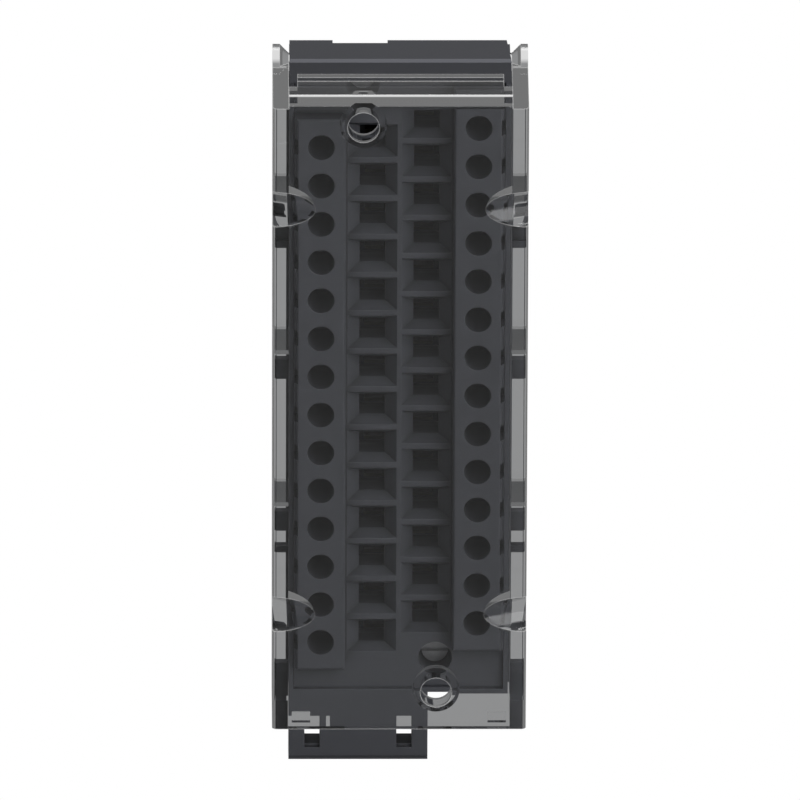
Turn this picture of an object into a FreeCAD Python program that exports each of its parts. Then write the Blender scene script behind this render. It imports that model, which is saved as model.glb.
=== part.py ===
import FreeCAD, Part
import math
import os

from FreeCAD import Vector

# Removable screw terminal block with two staggered columns of terminals and a
# hinged clear cover. Millimetres. X runs to the right seen from the front, Z up.
# Depths are measured forward from the rear mounting face, so Y = -depth.
# The origin is the middle of that face, halfway between the two fixing screws.

# Terminal grid
PITCH = 5.08
ROWS = 14
HALF_STAGGER = PITCH / 4
GRID_END = (ROWS - 1) / 2 * PITCH + HALF_STAGGER
DIVIDER_W = 0.55
MOUTH_W = 6.15
MOUTH_RIB = 0.73
MOUTH_H = PITCH - MOUTH_RIB
THROAT_W = MOUTH_W - 2.95
THROAT_H = MOUTH_H - 1.65
WIRE_X = (DIVIDER_W + MOUTH_W) / 2
STRIP_GAP = 0.27
STRIP_W = 6.1
STRIP_IN = DIVIDER_W / 2 + MOUTH_W + STRIP_GAP
STRIP_OUT = STRIP_IN + STRIP_W
SCREW_X = STRIP_IN + STRIP_W / 2

# Depths of the main faces
PLATE_DEPTH = 2.4
SEAT_DEPTH = 5.5
CHAMBER_DEPTH = 2.9
FACE_THICKNESS = 4.2
STRIP_RISE = 2.4
CHAMBER_FRONT = SEAT_DEPTH + CHAMBER_DEPTH
WIRE_FACE = CHAMBER_FRONT + FACE_THICKNESS
STRIP_FACE = WIRE_FACE + STRIP_RISE

# Terminal carrier, the moulding with the access holes and wire entries
STRIP_ROUND = 0.35
STRIP_END = 3.75
EDGE_W = 0.24
EDGE_STEP = 0.5
ACCESS_R = 1.66
FUNNEL_DEPTH = 1.5
SIDE_SLOT_W = 0.45
SIDE_SLOT_H = 2.0
SIDE_SLOT_DEPTH = 3.0
CHAMBER_SIDE = 2.05
CHAMBER_IN = WIRE_X - CHAMBER_SIDE
CHAMBER_OUT = SCREW_X + CHAMBER_SIDE
CHAMBER_H = PITCH - 1.08
CARRIER_FIT = 0.06
CARRIER_HALF_W = STRIP_OUT + EDGE_W

# Housing
TRAY_WALL = 0.6
TRAY_TOP_WALL = 0.8
TRAY_BOTTOM_WALL = 0.6
TRAY_SHELF_WALL = 1.5
TRAY_RIM = WIRE_FACE + 0.7
BODY_HALF_W = CARRIER_HALF_W + CARRIER_FIT + TRAY_WALL
BODY_BOTTOM = GRID_END + 7.6
BODY_TOP = GRID_END + 6.8
CARRIER_TOP = BODY_TOP - TRAY_TOP_WALL - CARRIER_FIT
CARRIER_BOTTOM = -(BODY_BOTTOM - TRAY_BOTTOM_WALL - CARRIER_FIT)
FLANGE_W = 0.35
FLANGE_FRONT = SEAT_DEPTH + 1.5
FLANGE_DROP = 2.2
PLUG_EDGE = 1.2
PLUG_WALL = 0.8
PLUG_HALF_W = CHAMBER_OUT + PLUG_EDGE

# Hinge bar across the top and the pivots of the cover in its ends
PIVOT_DEPTH = WIRE_FACE - 0.1
PIVOT_R = 1.1
PIVOT_FIT = 0.06
PIVOT_REACH = 1.3
PIVOT_END_GAP = 0.1
HINGE_BAR_H = 3.0
HINGE_BAR_TOP = BODY_TOP + HINGE_BAR_H
HINGE_BAR_FRONT = PIVOT_DEPTH + 5.0
HINGE_BAR_REAR = PIVOT_DEPTH - 1.95
HINGE_BAR_BEVEL = 0.35
HINGE_BAR_TAPER = 0.5
BAR_NOTCH_LEFT = -8.35
BAR_NOTCH_W = 6.8
BAR_NOTCH_DEPTH = 1.0

# Captive fixing screws, the upper left and the lower right one
FIX_X = 4.6
FIX_BEYOND = 3.3
FIX_SHIFT = 0.3
FIX_HEAD_R = 1.65
FIX_HEAD_H = 2.0
FIX_HEAD_FACE = WIRE_FACE - 2.9
FIX_SHANK_R = 1.25
FIX_NECK_R = 1.0
FIX_NECK_W = 0.6
FIX_REACH = 1.0
FIX_RECESS_R = 2.1
FIX_FIT = 0.1
FIX_BOSS_R = 2.3
FIX_BOSS_REAR = SEAT_DEPTH - 2.5
FIX_SLOT_W = 0.6
FIX_SLOT_DEPTH = 0.8
RING_R = 2.0
RING_T = 0.5
RING_FIT = 0.04

# Clamp parts of one terminal
CLAMP_SIDE = CHAMBER_SIDE - 0.2
CLAMP_IN = WIRE_X - CLAMP_SIDE
CLAMP_OUT = SCREW_X + CLAMP_SIDE
CLAMP_H = CHAMBER_H - 0.3
CLAMP_FIT = 0.06
CLAMP_WIRE_W = 2 * CLAMP_SIDE - 0.7
CLAMP_WIRE_H = CLAMP_H - 0.9
CLAMP_WIRE_DEPTH = 2.2
YOKE_T = 0.5
YOKE_H = CLAMP_H - 0.3
YOKE_LEG_DEPTH = 1.9
SCREW_R = 1.2
SCREW_FIT = 0.06
SCREW_HEAD_R = 1.5
SCREW_HEAD_H = 1.4
SCREW_SLOT_W = 0.5
SCREW_SLOT_DEPTH = 0.7
SCREW_GAP = 0.1
SOCKET_X = (WIRE_X + SCREW_X) / 2
SOCKET_GAP = 0.7
SOCKET_LEAF = 0.6
SOCKET_H = 1.6
SOCKET_RECESS = 0.5
SOCKET_FIT = 0.1

# Clear cover
COVER_SIDE_FIT = 0.1
COVER_SIDE_WALL = 2.0
COVER_FRONT_WALL = 1.5
COVER_ROOF = 1.8
COVER_CORNER = 0.6
COVER_BEND = 0.5
WIRING_DEPTH = 9.8
COVER_FRONT = STRIP_FACE + WIRING_DEPTH
COVER_HALF_W = BODY_HALF_W + COVER_SIDE_FIT + COVER_SIDE_WALL
COVER_TOP = HINGE_BAR_TOP - 1.9
COVER_BOTTOM = BODY_BOTTOM + 0.3
ROOF_REAR = HINGE_BAR_FRONT + 1.2
ROOF_NARROW_FROM = ROOF_REAR + 3.1
ROOF_REAR_HALF_W = BODY_HALF_W - 0.95
ROOF_LIP_H = 0.5
ROOF_LIP_T = 1.2
ROOF_ROUND = 0.35
PIVOT_Z = COVER_TOP - 0.2
HUB_R = 2.2
HUB_BEVEL = 1.1
COVER_REAR = PIVOT_DEPTH - HUB_R
GUIDE_BORE_R = 1.95
GUIDE_R = 2.93
GUIDE_TIP_R = 2.7
GUIDE_LENGTH = 3.1
SCOOP_UPPER_Z = COVER_TOP - 15.1
SCOOP_LOWER_Z = -COVER_BOTTOM + 15.4
SCOOP_R = 2.3
SCOOP_TILT = 25.0
SCOOP_INSET = 5.3
SCOOP_WALL = 1.3
CATCH_WINDOW_LIFT = 1.7
CATCH_WINDOW_H = 3.35
CATCH_WINDOW_D = 1.4
CATCH_WINDOW_REAR = 1.4
CATCH_W = 2.3
CATCH_H = 1.5
CATCH_T = 1.1
CATCH_RISE = 0.5
CATCH_INSET = 0.45

# Side lugs and legs behind the cover's side walls
LUG_HALF_W = COVER_HALF_W - 0.3
LUG_FRONT = COVER_REAR - 0.8
LUG_THICKNESS = 1.2
LUG_TOP = 3.24
LUG_H = 2.6
LUG_SPACING = 4 * PITCH
LUG_WEB = 0.5
LEG_BOTTOM = BODY_BOTTOM + 3.0
LEG_INNER = BODY_HALF_W + 0.25
SIDE_RIB_H = 0.9
SIDE_RIB_DROP = 2.0

# Cable-tie tab under the housing
TAB_LEFT = -BODY_HALF_W
TAB_W = 17.4
TAB_RIGHT = TAB_LEFT + TAB_W
TAB_BOTTOM = BODY_BOTTOM + 9.2
TAB_THICKNESS = 3.7
TIE_SLOT_W = 1.9
TIE_SLOT_TOP = BODY_BOTTOM + 3.0
TIE_SLOT_H = 4.1
TIE_SLOT_INSETS = (2.0, 13.5)
TIE_SLOT_LEDGE = 0.35
KEY_SLIT_INSET = 4.7
KEY_SLIT_W = 0.5
KEY_SLIT_H = 1.7
SIDE_NOTCH_W = 2.0
SIDE_NOTCH_H = 1.8
TAB_SKIN = 0.4
TAB_POCKET_DROP = 1.3
TAB_LIP_H = 0.6
TAB_LIP_DEPTH = 0.35

SIDES = {"left": -1, "right": 1}


def block(x0, x1, d0, d1, z0, z1):
    """Box between two X, two depths and two Z, each pair in any order."""
    x0, x1 = sorted((x0, x1))
    z0, z1 = sorted((z0, z1))
    d0, d1 = sorted((d0, d1))
    return Part.makeBox(x1 - x0, d1 - d0, z1 - z0, Vector(x0, -d1, z0))


def rod(x, z, d0, d1, radius, tip_radius=None):
    """Round bar along Y from depth d1, in front, back to depth d0."""
    start = Vector(x, -d1, z)
    if tip_radius is None:
        return Part.makeCylinder(radius, d1 - d0, start, Vector(0, 1, 0))
    return Part.makeCone(radius, tip_radius, d1 - d0, start, Vector(0, 1, 0))


def side_face(x, outline):
    """Face in the plane X = x from a list of edges given in depth and Z."""
    edges = []
    for points in outline:
        ends = [Vector(x, -d, z) for d, z in points]
        if len(ends) == 2:
            edges.append(Part.makeLine(ends[0], ends[1]))
        else:
            edges.append(Part.Arc(*ends).toShape())
    return Part.Face(Part.Wire(edges))


def row_z(side, row):
    """Height of one terminal. The right column stands half a pitch higher."""
    return side * HALF_STAGGER + ((ROWS - 1) / 2 - row) * PITCH


def terminals():
    """Every terminal as its side and height, from the top down."""
    for side in SIDES.values():
        for row in range(ROWS):
            yield side, row_z(side, row)


def fixing_places():
    """Places of the two fixing screws, on opposite sides of the middle."""
    reach = GRID_END + FIX_BEYOND
    return {"upper": (-FIX_X, FIX_SHIFT + reach), "lower": (FIX_X, FIX_SHIFT - reach)}


def grid_ends(side, margin):
    """Lowest and highest Z of one column of clamp parts, with a margin."""
    reach = CLAMP_H / 2 + margin
    return row_z(side, ROWS - 1) - reach, row_z(side, 0) + reach


def stepped_block(half_w, d0, d1, margin):
    """Block that follows the stagger: each half ends with its own column."""
    halves = []
    for side in SIDES.values():
        low, high = grid_ends(side, margin)
        halves.append(block(0, side * half_w, d0, d1, low, high))
    return halves[0].fuse(halves[1]).removeSplitter()


def strip(side):
    """Raised strip round one column of access holes, with rounded front edges."""
    low = row_z(side, ROWS - 1) - STRIP_END
    high = row_z(side, 0) + STRIP_END
    bar = block(side * STRIP_IN, side * STRIP_OUT, WIRE_FACE, STRIP_FACE, low, high)
    front = [edge for edge in bar.Edges
             if all(abs(v.Y + STRIP_FACE) < 1e-6 for v in edge.Vertexes)]
    return bar.makeFillet(STRIP_ROUND, front)


def funnel(x, z):
    """Tapered wire entry and the straight throat behind it."""
    rings = []
    throat_face = WIRE_FACE - FUNNEL_DEPTH
    for depth, width, height in ((WIRE_FACE, MOUTH_W, MOUTH_H),
                                 (throat_face, THROAT_W, THROAT_H)):
        corners = [Vector(x + sx * width / 2, -depth, z + sz * height / 2)
                   for sx, sz in ((-1, -1), (1, -1), (1, 1), (-1, 1))]
        rings.append(Part.makePolygon(corners + corners[:1]))
    taper = Part.makeLoft(rings, True, True)
    throat = block(x - THROAT_W / 2, x + THROAT_W / 2, CHAMBER_FRONT, throat_face,
                   z - THROAT_H / 2, z + THROAT_H / 2)
    return [taper, throat]


def terminal_carrier():
    """Front moulding: access holes, wire entries and clamp chambers."""
    half_w = CARRIER_HALF_W
    body = block(-half_w, half_w, SEAT_DEPTH, WIRE_FACE, CARRIER_BOTTOM, CARRIER_TOP)
    raised = []
    for side in SIDES.values():
        low = row_z(side, ROWS - 1) - STRIP_END
        high = row_z(side, 0) + STRIP_END
        raised.append(strip(side))
        raised.append(block(side * (STRIP_OUT - STRIP_ROUND), side * half_w, WIRE_FACE,
                            STRIP_FACE - EDGE_STEP, low, high))
    body = body.fuse(raised).removeSplitter()
    cuts = []
    for side, z in terminals():
        cuts.append(rod(side * SCREW_X, z, CHAMBER_FRONT, STRIP_FACE, ACCESS_R))
        cuts.extend(funnel(side * WIRE_X, z))
        cuts.append(block(side * CHAMBER_IN, side * CHAMBER_OUT, SEAT_DEPTH, CHAMBER_FRONT,
                          z - CHAMBER_H / 2, z + CHAMBER_H / 2))
        cuts.append(block(side * (half_w - SIDE_SLOT_W), side * half_w,
                          STRIP_FACE - SIDE_SLOT_DEPTH, STRIP_FACE,
                          z - SIDE_SLOT_H / 2, z + SIDE_SLOT_H / 2))
    for x, z in fixing_places().values():
        seat = FIX_HEAD_FACE - FIX_HEAD_H
        cuts.append(rod(x, z, seat, WIRE_FACE, FIX_RECESS_R))
        cuts.append(rod(x, z, SEAT_DEPTH, seat, FIX_SHANK_R + FIX_FIT))
    return body.cut(cuts)


def hinge_bar():
    """Bar across the top, bevelled in front, with its right end drawn in to the rear."""
    bar = block(-BODY_HALF_W, BODY_HALF_W, HINGE_BAR_REAR, HINGE_BAR_FRONT,
                BODY_TOP, HINGE_BAR_TOP)
    bevelled = [edge for edge in bar.Edges
                if all(abs(v.Y + HINGE_BAR_FRONT) < 1e-6 and abs(v.Z - HINGE_BAR_TOP) < 1e-6
                       for v in edge.Vertexes)]
    bar = bar.makeChamfer(HINGE_BAR_BEVEL, bevelled)
    notch = block(BAR_NOTCH_LEFT, BAR_NOTCH_LEFT + BAR_NOTCH_W, HINGE_BAR_REAR,
                  HINGE_BAR_REAR + BAR_NOTCH_DEPTH, BODY_TOP, HINGE_BAR_TOP)
    corners = [Vector(BODY_HALF_W, -HINGE_BAR_FRONT, BODY_TOP),
               Vector(BODY_HALF_W, -HINGE_BAR_REAR, BODY_TOP),
               Vector(BODY_HALF_W - HINGE_BAR_TAPER, -HINGE_BAR_REAR, BODY_TOP)]
    end = Part.Face(Part.makePolygon(corners + corners[:1])).extrude(Vector(0, 0, HINGE_BAR_H))
    return bar.cut([notch, end])


def pivot(side, radius, from_x, to_x):
    """Round bar along the hinge axis on one side, between two distances from the middle."""
    return Part.makeCylinder(radius, to_x - from_x, Vector(side * from_x, -PIVOT_DEPTH, PIVOT_Z),
                             Vector(side, 0, 0))


def tray():
    """Open-fronted tray that holds the carrier, with a flanged shelf it seats on."""
    shelf = SEAT_DEPTH - TRAY_SHELF_WALL
    outside = block(-BODY_HALF_W, BODY_HALF_W, shelf, TRAY_RIM, -BODY_BOTTOM, BODY_TOP)
    inside = block(-BODY_HALF_W + TRAY_WALL, BODY_HALF_W - TRAY_WALL, SEAT_DEPTH, TRAY_RIM,
                   -BODY_BOTTOM + TRAY_BOTTOM_WALL, BODY_TOP - TRAY_TOP_WALL)
    flange = block(-BODY_HALF_W - FLANGE_W, BODY_HALF_W + FLANGE_W, shelf, FLANGE_FRONT,
                   -BODY_BOTTOM, BODY_TOP - FLANGE_DROP)
    return outside.fuse(flange).cut(inside)


def side_lugs():
    """Thin ears behind the cover's side walls, ribs under them, and the two legs."""
    pieces = []
    rear = LUG_FRONT - LUG_THICKNESS
    for side in SIDES.values():
        inner, outer = side * (BODY_HALF_W - TRAY_WALL), side * LUG_HALF_W
        for step in (1, 0, -1):
            top = LUG_TOP + step * LUG_SPACING
            pieces.append(block(inner, outer, rear, LUG_FRONT, top - LUG_H, top))
            rib_top = top - LUG_H - SIDE_RIB_DROP
            if step:
                pieces.append(block(inner, outer, rear, LUG_FRONT, rib_top - SIDE_RIB_H, rib_top))
            if step == 1:
                pieces.append(block(inner, outer, rear, rear + LUG_WEB, rib_top, top - LUG_H))
        leg_top = LUG_TOP - 2 * LUG_SPACING
        pieces.append(block(inner, outer, rear, LUG_FRONT, -BODY_BOTTOM, leg_top))
        pieces.append(block(side * LEG_INNER, outer, rear, LUG_FRONT, -LEG_BOTTOM, -BODY_BOTTOM))
    return pieces


def tie_tab():
    """Tab with slots for a cable tie, its front flush with the housing's rim."""
    rear = TRAY_RIM - TAB_THICKNESS
    tab = block(TAB_LEFT, TAB_RIGHT, rear, TRAY_RIM, -TAB_BOTTOM, -BODY_BOTTOM)
    bottom = -TIE_SLOT_TOP - TIE_SLOT_H
    cuts = []
    for inset in TIE_SLOT_INSETS:
        left = TAB_LEFT + inset
        cuts.append(block(left, left + TIE_SLOT_W, rear, TRAY_RIM, bottom, -TIE_SLOT_TOP))
        cuts.append(block(left, left + TIE_SLOT_W, TRAY_RIM - TIE_SLOT_LEDGE, TRAY_RIM,
                          bottom - TIE_SLOT_LEDGE, bottom))
    slit = TAB_LEFT + KEY_SLIT_INSET
    for left, width, height in ((slit, KEY_SLIT_W, KEY_SLIT_H),
                                (TAB_LEFT, SIDE_NOTCH_W, SIDE_NOTCH_H)):
        low = -TIE_SLOT_TOP - height
        cuts.append(block(left, left + width, rear, TRAY_RIM, low, -TIE_SLOT_TOP))
        cuts.append(block(left, left + width, rear, TRAY_RIM - TAB_SKIN,
                          low - TAB_POCKET_DROP, low))
    cuts.append(block(TAB_LEFT, TAB_RIGHT, TRAY_RIM - TAB_LIP_DEPTH, TRAY_RIM,
                      -TAB_BOTTOM, -TAB_BOTTOM + TAB_LIP_H))
    return tab.cut(cuts)


def housing():
    """Outer moulding: tray, bored hinge bar, rear plug shell, screw bosses and tab."""
    bosses = [rod(x, z, FIX_BOSS_REAR, SEAT_DEPTH, FIX_BOSS_R)
              for x, z in fixing_places().values()]
    plug = stepped_block(PLUG_HALF_W, 0, SEAT_DEPTH, CLAMP_FIT + PLUG_WALL)
    body = tray().fuse([hinge_bar(), plug, tie_tab()] + side_lugs() + bosses)
    cavity = stepped_block(PLUG_HALF_W - PLUG_WALL, 0, SEAT_DEPTH, CLAMP_FIT)
    bores = [rod(x, z, FIX_BOSS_REAR, SEAT_DEPTH, FIX_SHANK_R + FIX_FIT)
             for x, z in fixing_places().values()]
    bores += [pivot(side, PIVOT_R + PIVOT_FIT, BODY_HALF_W - PIVOT_REACH - PIVOT_END_GAP,
                    BODY_HALF_W) for side in SIDES.values()]
    return body.cut([cavity] + bores).removeSplitter()


def contact_plate():
    """Rear insulator with one slot for each contact, flush with the mounting face."""
    plate = stepped_block(PLUG_HALF_W - PLUG_WALL - CLAMP_FIT, 0, PLATE_DEPTH, 0)
    half_w = SOCKET_GAP / 2 + SOCKET_LEAF + SOCKET_FIT
    half_h = SOCKET_H / 2 + SOCKET_FIT
    slots = [block(side * SOCKET_X - half_w, side * SOCKET_X + half_w, 0, PLATE_DEPTH,
                   z - half_h, z + half_h)
             for side, z in terminals()]
    return plate.cut(slots)


def contact_body(side, z):
    """Brass body of one terminal: thread, wire pocket and the rear socket leaves."""
    front = SEAT_DEPTH - CLAMP_FIT
    body = block(side * CLAMP_IN, side * CLAMP_OUT, PLATE_DEPTH, front,
                 z - CLAMP_H / 2, z + CLAMP_H / 2)
    leaves = []
    for turn in (-1, 1):
        middle = side * SOCKET_X + turn * (SOCKET_GAP + SOCKET_LEAF) / 2
        leaves.append(block(middle - SOCKET_LEAF / 2, middle + SOCKET_LEAF / 2, SOCKET_RECESS,
                            PLATE_DEPTH, z - SOCKET_H / 2, z + SOCKET_H / 2))
    pocket = block(side * WIRE_X - CLAMP_WIRE_W / 2, side * WIRE_X + CLAMP_WIRE_W / 2,
                   front - CLAMP_WIRE_DEPTH, front, z - CLAMP_WIRE_H / 2, z + CLAMP_WIRE_H / 2)
    thread = rod(side * SCREW_X, z, PLATE_DEPTH, front, SCREW_R + SCREW_FIT)
    return body.fuse(leaves).cut([pocket, thread])


def clamp_yoke(side, z):
    """Steel plate slotted round one screw, with a leg that presses on the wire."""
    rear = SEAT_DEPTH - CLAMP_FIT
    wire_side = WIRE_X + CLAMP_WIRE_W / 2 - CLAMP_FIT
    plate = block(side * (wire_side - YOKE_T), side * CLAMP_OUT, rear, rear + YOKE_T,
                  z - YOKE_H / 2, z + YOKE_H / 2)
    leg_h = CLAMP_WIRE_H - 2 * CLAMP_FIT
    leg = block(side * (wire_side - YOKE_T), side * wire_side, rear - YOKE_LEG_DEPTH, rear,
                z - leg_h / 2, z + leg_h / 2)
    slot = SCREW_R + SCREW_FIT
    cut = block(side * (SCREW_X - slot), side * CLAMP_OUT, rear, rear + YOKE_T,
                z - slot, z + slot)
    return plate.fuse(leg).cut(cut)


def slotted_screw(x, z, head_face, head_r, head_h, shank_r, tip, slot_w, slot_depth):
    """Slotted cheese-head screw along Y, from its head's face back to its tip."""
    under_head = head_face - head_h
    head = rod(x, z, under_head, head_face, head_r)
    shank = rod(x, z, tip, under_head, shank_r)
    slot = block(x - head_r, x + head_r, head_face - slot_depth, head_face,
                 z - slot_w / 2, z + slot_w / 2)
    return head.fuse(shank).cut(slot)


def clamp_screw(side, z):
    under_head = SEAT_DEPTH - CLAMP_FIT + YOKE_T + SCREW_GAP
    return slotted_screw(side * SCREW_X, z, under_head + SCREW_HEAD_H, SCREW_HEAD_R,
                         SCREW_HEAD_H, SCREW_R, PLATE_DEPTH + SCREW_GAP, SCREW_SLOT_W,
                         SCREW_SLOT_DEPTH)


def neck_front():
    return FIX_BOSS_REAR - SCREW_GAP


def fixing_screw(x, z):
    """Captive screw: slotted head, shank, the neck for its ring, and the threaded end."""
    screw = slotted_screw(x, z, FIX_HEAD_FACE + SCREW_GAP, FIX_HEAD_R, FIX_HEAD_H, FIX_SHANK_R,
                          -FIX_REACH, FIX_SLOT_W, FIX_SLOT_DEPTH)
    groove = rod(x, z, neck_front() - FIX_NECK_W, neck_front(), FIX_HEAD_R)
    return screw.cut(groove.cut(rod(x, z, -FIX_REACH, FIX_BOSS_REAR, FIX_NECK_R)))


def retaining_ring(x, z):
    """Ring in the neck behind the boss that keeps the fixing screw captive."""
    rear = neck_front() - (FIX_NECK_W + RING_T) / 2
    ring = rod(x, z, rear, rear + RING_T, RING_R)
    return ring.cut(rod(x, z, rear, rear + RING_T, FIX_NECK_R + RING_FIT))


def cover_side(side):
    """One side wall, its top sloping up to the round hub, with the pivot and windows."""
    inner = COVER_HALF_W - COVER_SIDE_WALL
    outline = [
        ((COVER_REAR, -COVER_BOTTOM), (COVER_FRONT, -COVER_BOTTOM)),
        ((COVER_FRONT, -COVER_BOTTOM), (COVER_FRONT, COVER_TOP - COVER_ROOF)),
        ((COVER_FRONT, COVER_TOP - COVER_ROOF), (PIVOT_DEPTH + HUB_R, PIVOT_Z)),
        ((PIVOT_DEPTH + HUB_R, PIVOT_Z), (PIVOT_DEPTH, PIVOT_Z + HUB_R), (COVER_REAR, PIVOT_Z)),
        ((COVER_REAR, PIVOT_Z), (COVER_REAR, -COVER_BOTTOM)),
    ]
    start = side * inner
    wall = side_face(start, outline).extrude(Vector(side * COVER_SIDE_WALL, 0, 0))
    windows = []
    for step in (1, 0, -1):
        low = LUG_TOP + step * LUG_SPACING + CATCH_WINDOW_LIFT
        front = COVER_REAR + CATCH_WINDOW_REAR + CATCH_WINDOW_D
        windows.append(block(start, start + side * COVER_SIDE_WALL,
                             COVER_REAR + CATCH_WINDOW_REAR, front, low, low + CATCH_WINDOW_H))
    pin = pivot(side, PIVOT_R, BODY_HALF_W - PIVOT_REACH, inner)
    return wall.cut([hub_bevel(side)] + windows).fuse(pin)


def hub_bevel(side):
    """What the slope on the inner side of a hub, above its wall, takes away."""
    start = Vector(side * (COVER_HALF_W - COVER_SIDE_WALL), -PIVOT_DEPTH, PIVOT_Z)
    along = Vector(side, 0, 0)
    round_bar = Part.makeCylinder(HUB_R + HUB_BEVEL, HUB_BEVEL, start, along)
    slope = Part.makeCone(HUB_R - HUB_BEVEL, HUB_R, HUB_BEVEL, start, along)
    above = block(-COVER_HALF_W, COVER_HALF_W, COVER_REAR - HUB_BEVEL, COVER_FRONT,
                  COVER_TOP, COVER_TOP + 2 * HUB_R)
    return round_bar.cut(slope).common(above)


def cover_roof():
    """Roof with its rounded front edge, the bend down into the front wall and its rear lip."""
    inner_x = COVER_HALF_W - COVER_SIDE_WALL
    under = COVER_TOP - COVER_ROOF
    wall_back = COVER_FRONT - COVER_FRONT_WALL
    bend = COVER_BEND * (1 - math.sqrt(0.5))
    edge = ROOF_ROUND * (1 - math.sqrt(0.5))
    outline = [
        ((ROOF_REAR, under), (wall_back - COVER_BEND, under)),
        ((wall_back - COVER_BEND, under), (wall_back - bend, under - bend),
         (wall_back, under - COVER_BEND)),
        ((wall_back, under - COVER_BEND), (COVER_FRONT, under - COVER_BEND)),
        ((COVER_FRONT, under - COVER_BEND), (COVER_FRONT, COVER_TOP - ROOF_ROUND)),
        ((COVER_FRONT, COVER_TOP - ROOF_ROUND), (COVER_FRONT - edge, COVER_TOP - edge),
         (COVER_FRONT - ROOF_ROUND, COVER_TOP)),
        ((COVER_FRONT - ROOF_ROUND, COVER_TOP), (ROOF_REAR, COVER_TOP)),
        ((ROOF_REAR, COVER_TOP), (ROOF_REAR, under)),
    ]
    roof = side_face(-inner_x, outline).extrude(Vector(2 * inner_x, 0, 0))
    reliefs = [block(side * ROOF_REAR_HALF_W, side * inner_x, ROOF_REAR, ROOF_NARROW_FROM,
                     under, COVER_TOP)
               for side in SIDES.values()]
    lip = block(-ROOF_REAR_HALF_W, ROOF_REAR_HALF_W, ROOF_REAR, ROOF_REAR + ROOF_LIP_T,
                COVER_TOP, COVER_TOP + ROOF_LIP_H)
    return roof.cut(reliefs).fuse(lip)


def cover_catch(side):
    """Wedge at a lower corner that snaps over the housing's sill."""
    wall_back = COVER_FRONT - COVER_FRONT_WALL
    low = -COVER_BOTTOM + CATCH_RISE
    outline = [
        ((wall_back, low), (wall_back - CATCH_T, low)),
        ((wall_back - CATCH_T, low), (wall_back, low + CATCH_H)),
        ((wall_back, low + CATCH_H), (wall_back, low)),
    ]
    inner_x = COVER_HALF_W - COVER_SIDE_WALL
    start = side * (inner_x - CATCH_INSET - CATCH_W)
    return side_face(start, outline).extrude(Vector(side * CATCH_W, 0, 0))


def cover_scoop(side, z, radius):
    """Round bar tilted across a vertical front corner, for a finger scoop."""
    tilt = math.radians(SCOOP_TILT)
    along = Vector(side * math.cos(tilt), math.sin(tilt), 0)
    inset = Vector(side * (COVER_HALF_W - SCOOP_INSET), -COVER_FRONT, z)
    lift = Vector(side * math.sin(tilt), -math.cos(tilt), 0) * SCOOP_R
    start = inset + lift - along * SCOOP_INSET
    return Part.makeCylinder(radius, 3 * SCOOP_INSET, start, along)


def clear_cover():
    """Clear cover: front wall, side walls with pivots, roof, driver guides and scoops."""
    inner_x = COVER_HALF_W - COVER_SIDE_WALL
    wall_back = COVER_FRONT - COVER_FRONT_WALL
    front = block(-inner_x, inner_x, wall_back, COVER_FRONT, -COVER_BOTTOM,
                  COVER_TOP - COVER_ROOF)
    guides = [rod(x, z, COVER_FRONT - GUIDE_LENGTH, wall_back, GUIDE_R, GUIDE_TIP_R)
              for x, z in fixing_places().values()]
    inside = block(-inner_x, inner_x, COVER_REAR, COVER_FRONT, -COVER_BOTTOM, COVER_TOP)
    scoops = [(side, z) for side in SIDES.values() for z in (SCOOP_UPPER_Z, SCOOP_LOWER_Z)]
    bulges = [cover_scoop(side, z, SCOOP_R + SCOOP_WALL).common(inside) for side, z in scoops]
    walls = [cover_side(side) for side in SIDES.values()]
    catches = [cover_catch(side) for side in SIDES.values()]
    added = walls + [cover_roof()] + guides + catches + bulges
    cover = front.fuse(added).removeSplitter()
    corners = [edge for edge in cover.Edges
               if edge.BoundBox.ZLength > COVER_BOTTOM
               and edge.BoundBox.YMax < -COVER_FRONT + 1e-6
               and edge.BoundBox.XMin * edge.BoundBox.XMax > inner_x ** 2]
    cover = cover.makeFillet(COVER_CORNER, corners)
    cuts = [rod(x, z, COVER_FRONT - GUIDE_LENGTH, COVER_FRONT, GUIDE_BORE_R)
            for x, z in fixing_places().values()]
    cuts += [cover_scoop(side, z, SCOOP_R) for side, z in scoops]
    return cover.cut(cuts)


def export(name, shape):
    shape.exportStep("parts/%s.step" % name)


def main():
    os.makedirs("parts", exist_ok=True)
    export("housing", housing())
    export("terminal_carrier", terminal_carrier())
    export("contact_plate", contact_plate())
    export("clear_cover", clear_cover())
    for name, side in SIDES.items():
        heights = [row_z(side, row) for row in range(ROWS)]
        export("contact_bodies_" + name,
               Part.makeCompound([contact_body(side, z) for z in heights]))
        export("clamp_yokes_" + name,
               Part.makeCompound([clamp_yoke(side, z) for z in heights]))
        for row, z in enumerate(heights):
            export("clamp_screw_%s_%02d" % (name, row + 1), clamp_screw(side, z))
    for name, (x, z) in fixing_places().items():
        export("fixing_screw_" + name, fixing_screw(x, z))
        export("retaining_ring_" + name, retaining_ring(x, z))


main()
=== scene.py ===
"""Looks for a screw terminal block with a hinged clear cover.

The dark moulded parts, the smoke-tinted cover and the metal parts get their finishes
here, and the free ends of the two fixing screws get their threads.
"""

import math

import bmesh
import bpy
from mathutils import Matrix, Vector


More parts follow.
